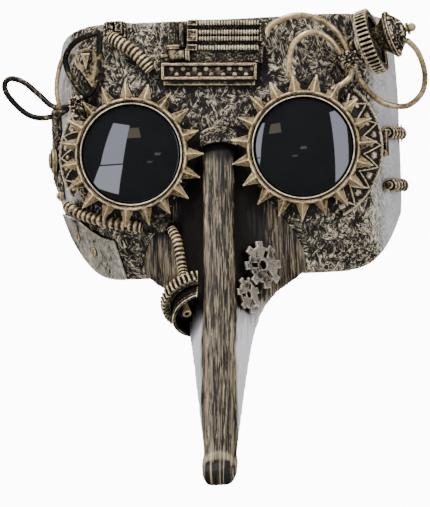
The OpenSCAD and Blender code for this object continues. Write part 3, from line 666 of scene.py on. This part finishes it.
channel_gold = painted("channel gold", (0.008, 0.006, 0.004), (0.24, 0.175, 0.09), (0.84, 0.66, 0.38), 0.44,
                       1.6, edge=5.0, wash_and_shade=6.0, strands=0.12, cracks=0.5, metal=0.25, gloss=0.05)
blackened = painted("blackened plastic", (0.006, 0.005, 0.004), (0.17, 0.13, 0.075), (0.70, 0.57, 0.36),
                    0.26, 1.3, edge=5.0, wash_and_shade=2.5, strands=0.5, cracks=0.7)
for node, voxel in (("bead_channel", 0.35), ("rod_clamps", 0.22), ("elbow_pipe", 0.3)):
    settled(cast(node, voxel, 1, 0.06), channel_gold, "antique_gold", "mask", node)
for node, voxel in (("channel_beads", 0.2), ("toothed_rods", 0.18)):
    settled(cast(node, voxel, 1, 0.02), bright_gold, "antique_gold", "mask", node)
settled(cast("rod_end_fitting", 0.22, 1, 0.2), blackened, "antique_gold", "mask", "rod_end_fitting")
settled(embossed("rod_block", 0.4, strands_of(0.7, 2.0, (1, 1, 2.2))), relief_gold, "antique_relief",
        "mask", "rod_block")
settled(embossed("riser_pipes", 0.25, strands_of(0.5, 1.6, (2.4, 2, 0.25))), relief_gold,
        "antique_relief", "mask", "riser_pipes")
settled(embossed("brow_bracket", 0.25, strands_of(1.4, 2.6)), blackened, "antique_relief", "mask",
        "brow_bracket")


# ---- Ribbed hoses ------------------------------------------------------------------------------
# Three soft ribbed hoses with gold-brushed ribs: brow to channel, cheek to collar, collar to gear.

def rounded(node, levels):
    """A swept CAD tube with its quads restored and its section made round."""
    piece = welded(node)
    bm = bmesh.new()
    bm.from_mesh(piece.data)
    bmesh.ops.join_triangles(bm, faces=bm.faces, angle_face_threshold=1.2, angle_shape_threshold=1.6)
    bm.to_mesh(piece.data)
    bm.free()
    piece.data.shade_smooth()
    smooth = piece.modifiers.new("round", "SUBSURF")
    smooth.levels = levels
    smooth.render_levels = levels
    return piece


hose_gold = painted("hose ribs", (0.010, 0.007, 0.004), (0.20, 0.14, 0.07), (0.74, 0.57, 0.31), 0.34, 1.5,
                    edge=8.0, wash_and_shade=2.2, strands=0.15, cracks=0.4, metal=0.2, gloss=0.05)
for node in ("brow_hose", "cheek_hose", "nose_hose"):
    hose = rounded(node, 2)
    mesh = bpy.data.meshes.new_from_object(hose.evaluated_get(bpy.context.evaluated_depsgraph_get()))
    hose.modifiers.clear()
    hose.data = mesh
    mesh.shade_smooth()
    mark_edges(hose, 1)
    settled(hose, hose_gold, "ribbed_hose", "mask", node)
settled(rounded("hose_collar", 2), blackened, "blackened", "mask", "hose_collar")


# ---- Bent tubes --------------------------------------------------------------------------------
# Solid bent tubes that stand off the shell. The right-hand ones and the left arc are smooth antique
# gold; the left ring and far loop are black with gold rubbed on in patches.

tube_gold = painted("smooth gold tube", (0.030, 0.019, 0.009), (0.23, 0.158, 0.075), (0.66, 0.49, 0.27),
                    0.92, 6.0, edge=0.0, wash_and_shade=4.0, bump=0.04, strands=0.0, cracks=0.08, metal=0.55,
                    gloss=0.16, streaky=0.6)
tube_black = painted("black tube with gold", (0.006, 0.005, 0.004), (0.28, 0.19, 0.09), (0.62, 0.48, 0.28),
                     0.34, 4.0, edge=0.0, wash_and_shade=3.0, bump=0.15, strands=0.0, cracks=0.3, metal=0.2,
                     gloss=0.06)
for node in ("tube_arc", "tube_ring", "tube_end_loop", "left_arc"):
    settled(rounded(node, 2), tube_gold, "gold_tube", "mask", node)
for node in ("left_ring", "left_far_loop"):
    settled(rounded(node, 2), tube_black, "black_tube", "mask", node)
for node, rough in (("left_clip", 1.3), ("tube_clip", 1.3), ("hose_hooks", 0.25)):
    settled(cast(node, 0.25, 1, rough, 2.2), blackened, "blackened", "mask", node)
settled(cast("leaf_badge", 0.3, 1, 0.12), antique_gold, "antique_gold", "mask", "leaf_badge")


# ---- Upper gear, cup and valve -----------------------------------------------------------------
# A drum gear runs free on a post behind a trumpet cup. A black valve dome closes the cup and carries
# a block and a ball knob that turns.

gear_paint = painted("gear and cup", (0.008, 0.006, 0.004), (0.17, 0.125, 0.065), (0.74, 0.60, 0.37), 0.36,
                     1.5, edge=5.0, wash_and_shade=3.5, strands=0.4, cracks=0.6, metal=0.25)
settled(cast("gear_upper", 0.31, 1, 0.05), gear_paint, "antique_gold", "gear_upper_body", "gear_upper")
settled(cast("cup_upper", 0.3, 1, 0.05), gear_paint, "antique_gold", "mask", "cup_upper")
settled(cast("valve_knob", 0.2, 1, 0.03), antique_gold, "antique_gold", "valve_knob_body", "valve_knob")
settled(embossed("valve_dome", 0.35, strands_of(1.4, 3.0)), blackened, "blackened", "mask", "valve_dome")
settled(cast("gear_axle", 0.6, 1, 0.05), blackened, "blackened", "mask", "gear_axle")


# ---- Right temple: springs and link ------------------------------------------------------------
# Two coil springs on rods along the side wall, with a link bar that hangs from a pin.

settled(cast("side_springs", 0.26, 1), gear_paint, "antique_gold", "mask", "side_springs")
settled(cast("side_link", 0.22, 1, 0.05), gear_paint, "blackened", "mask", "side_link")
settled(cast("link_pin", 0.2, 1, 0.03), antique_gold, "antique_gold", "mask", "link_pin")


# ---- Lower gear, collar and cheek fittings -----------------------------------------------------
# The lower drum gear and cup are let into the side of the beak. The cheek has a pale plate held by two
# slotted screws, and the other cheek carries two flat cogs.

settled(cast("gear_lower", 0.31, 1, 0.05), gear_paint, "antique_gold", "mask", "gear_lower")
cup_shade = painted("dark lower cup", (0.005, 0.004, 0.004), (0.16, 0.12, 0.07), (0.85, 0.72, 0.48),
                    0.16, 1.8, edge=6.0, wash_and_shade=3.0, strands=0.08, cracks=0.3, gloss=0.2)
settled(cast("cup_lower", 0.3, 1, 0.03), cup_shade, "antique_gold", "mask", "cup_lower")
settled(cast("cup_stub", 0.2, 1, 0.03), antique_gold, "antique_gold", "mask", "cup_stub")
plate_paint = painted("pale cheek plate", (0.012, 0.010, 0.008), (0.21, 0.185, 0.145), (0.62, 0.57, 0.48),
                      0.60, 1.8, (1, 1, 0.5), edge=2.5, wash_and_shade=2.0, strands=0.4, cracks=0.4, streaky=1.0)
settled(cast("cheek_plate", 0.55, 1, 0.05), plate_paint, "antique_shell", "mask", "cheek_plate")
settled(cast("cheek_screws", 0.2, 1, 0.03), antique_gold, "antique_gold", "mask", "cheek_screws")
cog_paint = painted("flat cogs", (0.010, 0.008, 0.006), (0.16, 0.135, 0.105), (0.48, 0.42, 0.34), 0.62, 2.6,
                    edge=3.5, wash_and_shade=1.6, strands=0.1, cracks=0.15, streaky=0.7)
for node in ("cheek_cog_large", "cheek_cog_small"):
    settled(cast(node, 0.3, 1, 0.04), cog_paint, "antique_relief", "mask", node)


# ---- Strap eyelets -----------------------------------------------------------------------------
# Pressed brass eyelets in the temples, for the strap.

eyelet_brass = painted("eyelet brass", (0.05, 0.03, 0.015), (0.40, 0.28, 0.12), (0.7, 0.55, 0.3), 0.9, 2.0,
                       edge=1.0, wash_and_shade=1.5, strands=0.0, cracks=0.1, metal=0.8, gloss=0.15)
for side in ("left", "right"):
    settled(cast("strap_eyelet_" + side, 0.25, 1), eyelet_brass, "eyelet_brass", "mask",
            "strap_eyelet_" + side)


# ---- Stage: floor, light and camera ------------------------------------------------------------
# A white sweep behind and below the mask, soft lights, window-like cards that only show
# as reflections, and a long lens.

bm = bmesh.new()
sweep = [(-6.0, -0.32), (0.9, -0.32), (1.35, -0.24), (1.62, 0.0), (1.72, 0.4), (1.75, 2.6)]
line = [bm.verts.new((-3.0, y, z)) for y, z in sweep]
edges = [bm.edges.new(pair) for pair in zip(line, line[1:])]
wide = bmesh.ops.extrude_edge_only(bm, edges=edges)
far_edge = [v for v in wide["geom"] if isinstance(v, bmesh.types.BMVert)]
bmesh.ops.translate(bm, vec=(6.0, 0, 0), verts=far_edge)
bmesh.ops.recalc_face_normals(bm, faces=bm.faces)
mesh = bpy.data.meshes.new("floor")
bm.to_mesh(mesh)
bm.free()
mesh.shade_smooth()
floor = bpy.data.objects.new("floor", mesh)
bpy.context.scene.collection.objects.link(floor)
curve = floor.modifiers.new("round", "SUBSURF")
curve.levels = 3
curve.render_levels = 3
white = bpy.data.materials.new("white floor")
white.use_nodes = True
paper = white.node_tree.nodes["Principled BSDF"]
paper.inputs["Base Color"].default_value = (0.85, 0.85, 0.85, 1)
paper.inputs["Roughness"].default_value = 0.9
paper.inputs["Emission Color"].default_value = (1, 1, 1, 1)
seen = add_node(white.node_tree, "ShaderNodeLightPath").outputs["Is Camera Ray"]
glow = calculate(white.node_tree, "MULTIPLY", seen, 11.0)
white.node_tree.links.new(glow, paper.inputs["Emission Strength"])
mesh.materials.append(white)
floor.visible_glossy = False


def card(name, corners, strength, tint):
    """A glowing panel that only shows in glossy pieces."""
    mesh = bpy.data.meshes.new(name)
    mesh.from_pydata([Vector(c) * MM for c in corners], [], [(0, 1, 2, 3)])
    material = bpy.data.materials.new(name)
    material.use_nodes = True
    shader = material.node_tree.nodes["Principled BSDF"]
    shader.inputs["Base Color"].default_value = (0, 0, 0, 1)
    shader.inputs["Emission Color"].default_value = (*tint, 1)
    shader.inputs["Emission Strength"].default_value = strength
    mesh.materials.append(material)
    panel = bpy.data.objects.new(name, mesh)
    bpy.context.scene.collection.objects.link(panel)
    panel.visible_camera = False
    panel.visible_diffuse = False
    panel.visible_shadow = False


def toward(x, azimuth, distance, z):
    """A point at an azimuth and a distance from a lens at x, in millimetres."""
    turn = math.radians(azimuth)
    return (x + distance * math.sin(turn), -73 - distance * math.cos(turn), z)


COOL = (0.82, 0.84, 1.0)
WARM = (1.0, 0.86, 0.62)
card("window upper", [toward(-EYE_X, -14, 150, -16), toward(-EYE_X, -35, 150, -16),
                      toward(-EYE_X, -24, 135, 79), toward(-EYE_X, -7, 135, 73)], 8.0, COOL)
card("window lower", [toward(-EYE_X, -22, 135, -88), toward(-EYE_X, -46, 143, -60),
                      toward(-EYE_X, -36, 149, -19), toward(-EYE_X, -14, 149, -19)], 9.0, COOL)
card("side window", [toward(EYE_X, 24, 380, -210), toward(EYE_X, 34, 380, -210),
                     toward(EYE_X, 34, 380, 230), toward(EYE_X, 21, 380, 210)], 8.0, COOL)
card("lamp high", [(-82, -271, 58), (-34, -271, 58), (-40, -271, 92), (-76, -271, 92)], 2.2, WARM)
card("lamp mid", [(20, -340, 2), (44, -340, 2), (48, -340, 12), (22, -340, 12)], 2.2, WARM)
card("lamp low", [(-12, -330, -26), (8, -330, -26), (10, -330, -20), (-10, -330, -20)], 2.0, COOL)


def area_light(name, place, target, width, height, power):
    """A soft box that faces a point."""
    data = bpy.data.lights.new(name, "AREA")
    data.shape = "RECTANGLE"
    data.size = width
    data.size_y = height
    data.energy = power
    light = bpy.data.objects.new(name, data)
    bpy.context.scene.collection.objects.link(light)
    light.location = place
    light.rotation_euler = (Vector(target) - Vector(place)).to_track_quat("-Z", "Y").to_euler()
    light.visible_glossy = width < 0.5
    return light


middle = (0.0, -0.05, -0.04)
area_light("key box", (-0.5, -0.8, 1.2), middle, 0.4, 0.4, 27)
area_light("fill box", (0.95, -0.8, 0.45), middle, 0.45, 0.7, 8)
area_light("top box", (0.0, -0.1, 1.2), middle, 1.2, 0.8, 9)
area_light("side left", (-1.1, -0.1, 0.1), middle, 0.6, 1.2, 8)
area_light("side right", (1.1, -0.1, 0.1), middle, 0.6, 1.2, 8)
world = bpy.data.worlds.new("studio")
bpy.context.scene.world = world
world.use_nodes = True
world.node_tree.nodes["Background"].inputs[0].default_value = (1, 1, 1, 1)
seen = add_node(world.node_tree, "ShaderNodeLightPath").outputs["Is Camera Ray"]
world.node_tree.links.new(ramped(world.node_tree, seen, 0.0, 1.0, 0.15, 9.0),
                          world.node_tree.nodes["Background"].inputs[1])

# The camera looks level, five degrees round to the viewer's right, and is rolled a little.
CAMERA_TURN = math.radians(5.0)
CAMERA_ROLL = math.radians(-2.2)
CAMERA_PLACE = (0.1101, -1.3673, -0.0534)
camera_data = bpy.data.cameras.new("camera")
camera_data.sensor_width = 36
camera_data.lens = 36 * 2500 / 507
camera = bpy.data.objects.new("camera", camera_data)
bpy.context.scene.collection.objects.link(camera)
camera.matrix_world = (Matrix.Translation(CAMERA_PLACE) @ Matrix.Rotation(CAMERA_TURN, 4, "Z")
                       @ Matrix.Rotation(math.pi / 2, 4, "X") @ Matrix.Rotation(CAMERA_ROLL, 4, "Z"))
bpy.context.scene.camera = camera
